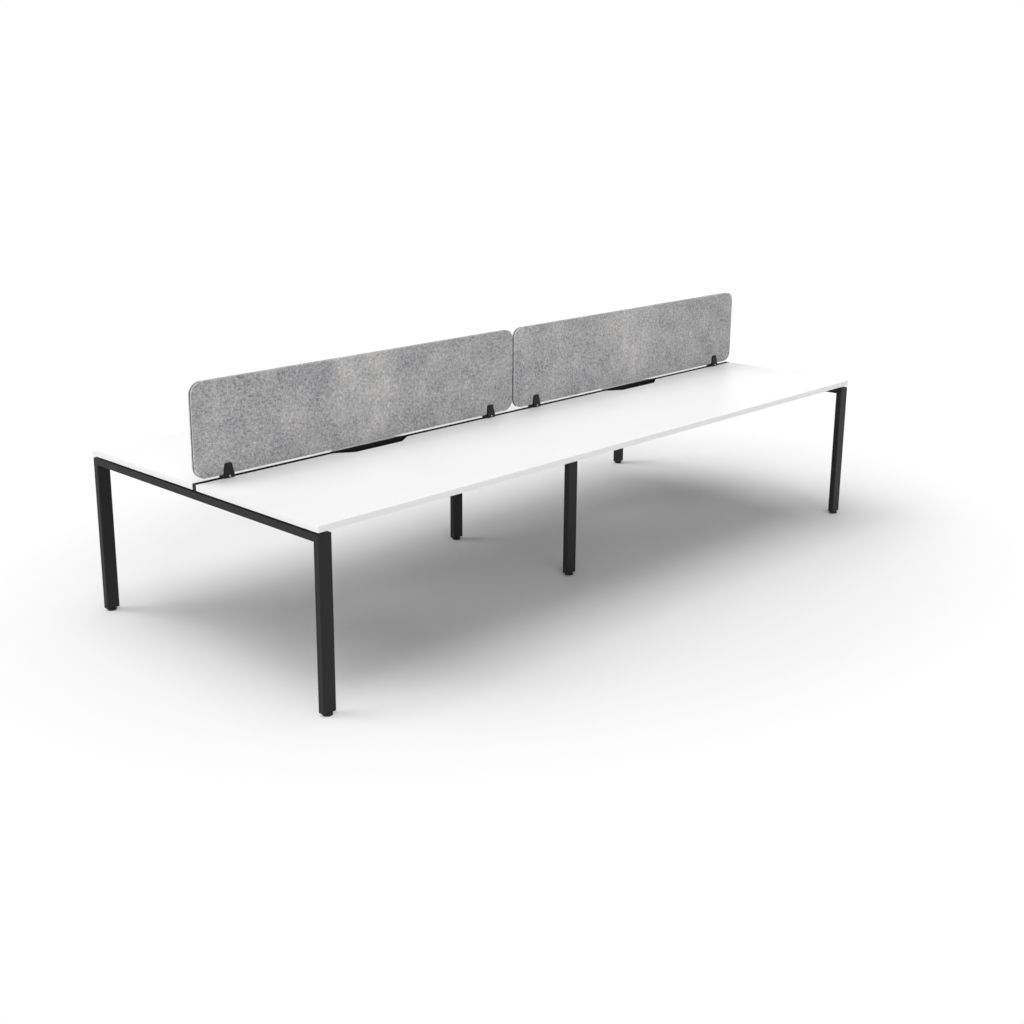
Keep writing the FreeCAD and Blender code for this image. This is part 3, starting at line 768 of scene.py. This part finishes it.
def makeFrontJaw(name, node):
    low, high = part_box(node)
    piece = startBlock(name, low, high)
    cutAcross(piece, (0, 0, low.z + clip["footHeight"]), (0, 0, 1))
    middle = middleAcross(node)
    for side in (-1, 1):
        moveCorners(piece, lambda co: close(co.z, high.z) and (co.x - middle) * side > 0,
                    (-side * clip["taper"], 0, 0))
    moveCorners(piece, lambda co: close(co.z, high.z) and close(co.y, low.y),
                (0, high.y - clip["lip"] - low.y, 0))
    roundOff(piece, lambda a, b: along(a, b, depthwise) and close(a.z, high.z) and close(b.z, high.z),
             clip["topRound"], clip["topSteps"])
    clearOfBack = high.y - 1 * mm
    roundOff(piece, lambda a, b: max(a.y, b.y) < clearOfBack, clip["edgeRound"], clip["edgeSteps"])
    past = 5 * mm
    hole = startLying("hole", clip["screwHole"], low.y - past, high.y + past, 32,
                      middle, low.z + clip["screwHeight"])
    cutWith(piece, hole)
    smooth(piece)
    dress(piece, [blackClipEnamel])
    return piece


clipNumbers = range(1, 5)
firstJaw = makeFrontJaw("clipJawFront1", "clip_front_jaw_1")
firstMiddle = middleAcross("clip_front_jaw_1")
for number in clipNumbers:
    middle = middleAcross(f"clip_front_jaw_{number}")
    turn = Matrix.Rotation(math.pi, 4, "Z")
    turned = Matrix.Translation((middle, 0, 0)) @ turn @ Matrix.Translation((-firstMiddle, 0, 0))
    rearJaw = copyPiece(firstJaw, f"clipJawRear{number}", turned)
    standFor(rearJaw, f"clip_rear_jaw_{number}", "desk")
    if number > 1:
        moved = Matrix.Translation((middle - firstMiddle, 0, 0))
        frontJaw = copyPiece(firstJaw, f"clipJawFront{number}", moved)
        standFor(frontJaw, f"clip_front_jaw_{number}", "desk")
standFor(firstJaw, "clip_front_jaw_1", "desk")
print("clips made")


clampScrew = {
    "headRadius": 4.2 * mm,
    "headHeight": 2.2 * mm,
    "headRound": 1.1 * mm,
    "shankRadius": 2.5 * mm,
    "length": 42.2 * mm,
    "keyRadius": 1.75 * mm,
    "keyDepth": 1.4 * mm,
}


def makeClampScrew(name, x, faceY, z):
    head = faceY - clampScrew["headHeight"]
    piece = startLying(name, clampScrew["headRadius"], head, faceY, 40, x, z)
    roundOff(piece, lambda a, b: close(a.y, head) and close(b.y, head), clampScrew["headRound"], 5)
    drawOut(piece, lambda centre, normal: looks(normal, depthwise, 1),
            clampScrew["headRadius"] - clampScrew["shankRadius"],
            (0, clampScrew["length"] - clampScrew["headHeight"], 0))
    before = 2 * mm
    key = startLying("key", clampScrew["keyRadius"], head - before, head + clampScrew["keyDepth"], 6, x, z)
    cutWith(piece, key)
    smooth(piece)
    return piece


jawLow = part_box("clip_front_jaw_1")[0]
screws = [makeClampScrew(f"clampScrew{number}", middleAcross(f"clip_front_jaw_{number}"),
                         jawLow.y, jawLow.z + clip["screwHeight"]) for number in clipNumbers]
clampScrews = joinPieces(screws, "clampScrews")
dress(clampScrews, [brightScrewSteel])
standFor(clampScrews, "clip_clamp_screws", "desk")
print("clamp screws made")


foot = {
    "padRadius": 20 * mm,
    "padHeight": 9 * mm,
    "padRound": 1.0 * mm,
    "crown": 1.4 * mm,
    "crownInset": 4 * mm,
    "socketRadius": 5.1 * mm,
    "socketFloor": 2.5 * mm,
    "collarRadius": 8.4 * mm,
    "collarHeight": 2 * mm,
    "collarRound": 0.25 * mm,
    "stemFoot": 2.7 * mm,
    "stemTop": 60 * mm,
    "threadRadius": 4.95 * mm,
    "threadDepth": 0.75 * mm,
    "threadRoot": 0.05 * mm,  # how deep its foot stands in the stem
    "threadPitch": 1.5 * mm,
    "threadCorners": (0.08, 0.44, 0.56, 0.92),  # in shares of the pitch
    "threadStart": 0.1 * mm,
    "threadEnd": 2 * mm,
    "threadSteps": 24,
    "mergeWithin": 0.005 * mm,
}


def makeFootPad(name):
    piece = startUpright(name, foot["padRadius"], 0, foot["padHeight"], 64)
    pick(piece, "FACE", lambda centre, normal: looks(normal, upright, 1))
    bpy.ops.mesh.inset(thickness=foot["crownInset"], depth=0)
    closeEdit()
    rim = foot["padRadius"] - 0.3 * mm
    moveCorners(piece, lambda co: close(co.z, foot["padHeight"]) and co.xy.length > rim,
                (0, 0, -foot["crown"]))
    drawOut(piece, lambda centre, normal: looks(normal, upright, 1),
            foot["padRadius"] - foot["crownInset"] - foot["socketRadius"],
            (0, 0, foot["socketFloor"] - foot["padHeight"]))
    roundOff(piece, lambda a, b: min(a.xy.length, b.xy.length) > rim and close(a.z, b.z),
             foot["padRound"], 4)
    smooth(piece)
    dress(piece, [blackNylon])
    return piece


def makeThread(start):
    clearSelection()
    bpy.ops.mesh.primitive_plane_add(size=1 * mm, location=(0, 0, 0))
    thread = bpy.context.object
    thread.name = "thread"
    pitch, outer = foot["threadPitch"], foot["threadRadius"]
    root = outer - foot["threadDepth"] - foot["threadRoot"]
    # the plane becomes the thread's profile
    for index, radius, share in zip((0, 1, 3, 2), (root, outer, outer, root), foot["threadCorners"]):
        thread.data.vertices[index].co = (radius, 0, start + foot["threadStart"] + share * pitch)
    turns = int((foot["stemTop"] - start - foot["threadEnd"]) / pitch)
    steps = foot["threadSteps"]
    applyModifier(thread, "SCREW", angle=2 * math.pi, screw_offset=pitch, iterations=turns,
                  steps=steps, render_steps=steps, use_merge_vertices=False)
    openEdit(thread)
    bpy.ops.mesh.fill_holes(sides=4)  # its two ends
    bpy.ops.mesh.select_all(action="SELECT")
    bpy.ops.mesh.remove_doubles(threshold=foot["mergeWithin"])
    bpy.ops.mesh.normals_make_consistent(inside=False)
    closeEdit()
    return thread


def makeFootStem(name):
    collarTop = foot["padHeight"] + foot["collarHeight"]
    collar = startUpright(name, foot["collarRadius"], foot["padHeight"], collarTop, 6)
    roundOff(collar, lambda a, b: close(a.z, b.z), foot["collarRound"], 2)
    coreRadius = foot["threadRadius"] - foot["threadDepth"]
    core = startUpright("core", coreRadius, foot["stemFoot"], foot["stemTop"], 32)
    cutWith(collar, core, "UNION")
    stem = joinPieces([collar, makeThread(collarTop)], name)
    smooth(stem)
    dress(stem, [zincPlate])
    return stem


firstPad = makeFootPad("footPadFirst")
firstStem = makeFootStem("footStemFirst")
for place in ("front_left", "back_left", "front_middle", "back_middle", "front_right", "back_right"):
    low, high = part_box(f"foot_pad_{place}")
    title = "".join(word.title() for word in place.split("_"))
    moved = Matrix.Translation(((low.x + high.x) / 2, (low.y + high.y) / 2, 0))
    for first, word, slot in ((firstPad, "pad", "black_plastic"), (firstStem, "stem", "zinc_plated_steel")):
        twin = copyPiece(first, f"foot{word.title()}{title}", moved)
        standFor(twin, f"foot_{word}_{place}", f"foot_{place}")
for first in (firstPad, firstStem):
    bpy.data.objects.remove(first)
print("feet made")


# what each carried-over CAD node wears, by how its name starts
carried = [
    (("leg_front", "leg_back", "end_rail", "middle_rail", "beam_front", "beam_back"), blackPowderCoat),
    (("centre_strip",), matBlackStrip),
    (("beam_brackets", "bracket_screws", "beam_lock_screws"), zincPlate),
    (("worktop_screws", "clip_block_screws"), zincPlate),
    (("leg_plug", "worktop_spacers", "strip_end_caps"), blackNylon),
    (("clip_block",), blackClipEnamel),
]
for node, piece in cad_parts.items():
    for starts, finish in carried:
        if node.startswith(starts):
            dress(piece, [finish])
            break
print("frame dressed")


studio = {
    "floorSize": 400,
    "floorWhite": 0.80,
    "floorRoughness": 0.9,
    "floorSpecular": 0.1,
    "fadeShape": (0.777, 1, 1),  # the floor is seen as white beyond an oval about the desk
    "fadeShift": (-0.18, -0.09, 0),
    "fadeRange": (1.40, 2.33),
    "domeLevel": 0.01,
    "lampDistance": 8,
    "lamps": [
        # name, azimuth and elevation it shines from, level, softness in degrees
        ("overhead", 0, 89, 1.35, 45),
        ("keyRearLeft", 315, 50, 0.93, 32),
        ("broadRearLeft", 300, 60, 0.49, 45),
        ("broadRight", 96, 60, 0.28, 45),
        ("broadFront", 202, 60, 0.37, 45),
        ("fillFront", 205, 14, 0.46, 28),
        ("fillLeft", 240, 14, 0.63, 28),
    ],
}


def seenDirectly(sheet):
    # 1 where the camera sees a surface, or sees it mirrored
    ray = sheet.node("ShaderNodeLightPath", {}, {})
    return (ray["Is Camera Ray"] + ray["Is Glossy Ray"] + ray["Is Transmission Ray"]).within()


def makeFloor():
    clearSelection()
    bpy.ops.mesh.primitive_plane_add(size=studio["floorSize"], location=(0, 0, 0))
    floor = bpy.context.object
    floor.name = "studioFloor"
    finish = Finish("paleFloor")
    oval = finish.stretched(studio["fadeShape"], studio["fadeShift"])
    reach = finish.node("ShaderNodeVectorMath", {"operation": "LENGTH"}, {0: oval})["Value"]
    fade = finish.mask(reach, *studio["fadeRange"], "SMOOTHSTEP")
    pale = finish.shader(
        Base_Color=grey(studio["floorWhite"]),
        Roughness=studio["floorRoughness"],
        Specular_IOR_Level=studio["floorSpecular"])
    white = finish.node("ShaderNodeEmission", {}, {"Color": grey(1.0), "Strength": 1.0})["Emission"]
    mixed = finish.node("ShaderNodeMixShader", {}, {0: fade * seenDirectly(finish), 1: pale, 2: white})
    dress(floor, [finish.covered(mixed["Shader"])])


def lightWorld():
    # white where it is seen, dim where it lights
    world = bpy.data.worlds.new("studioDome")
    setup.world = world
    dome = NodeSheet(world)
    strength = seenDirectly(dome) * (1 - studio["domeLevel"]) + studio["domeLevel"]
    shade = dome.node("ShaderNodeBackground", {}, {"Color": grey(1.0), "Strength": strength})["Background"]
    dome.node("ShaderNodeOutputWorld", {}, {"Surface": shade})


def addSun(name, azimuth, elevation, level, softness):
    lamp = bpy.data.lights.new(name, "SUN")
    lamp.energy = level
    lamp.angle = math.radians(softness)
    holder = bpy.data.objects.new(name, lamp)
    setup.collection.objects.link(holder)
    across, rise = math.radians(azimuth), math.radians(elevation)
    source = Vector((math.sin(across) * math.cos(rise), math.cos(across) * math.cos(rise), math.sin(rise)))
    holder.rotation_euler = source.to_track_quat("Z", "Y").to_euler()
    holder.location = source * studio["lampDistance"]


makeFloor()
lightWorld()
for lamp in studio["lamps"]:
    addSun(*lamp)

view = {
    "location": (-4.60097, -4.30351, 2.16122),
    "tilt": (75.23, 0.03, -44.96),
    "lens": 47.314,
    "shift": (0.04422, -0.05311),
    "farEnd": 600,
}
photoCamera = bpy.data.cameras.new("photoCamera")
photoCamera.lens = view["lens"]
photoCamera.shift_x, photoCamera.shift_y = view["shift"]
photoCamera.clip_end = view["farEnd"]
cameraHolder = bpy.data.objects.new("photoCamera", photoCamera)
setup.collection.objects.link(cameraHolder)
cameraHolder.location = view["location"]
cameraHolder.rotation_euler = [math.radians(angle) for angle in view["tilt"]]
setup.camera = cameraHolder
print("stage, lights and camera set")
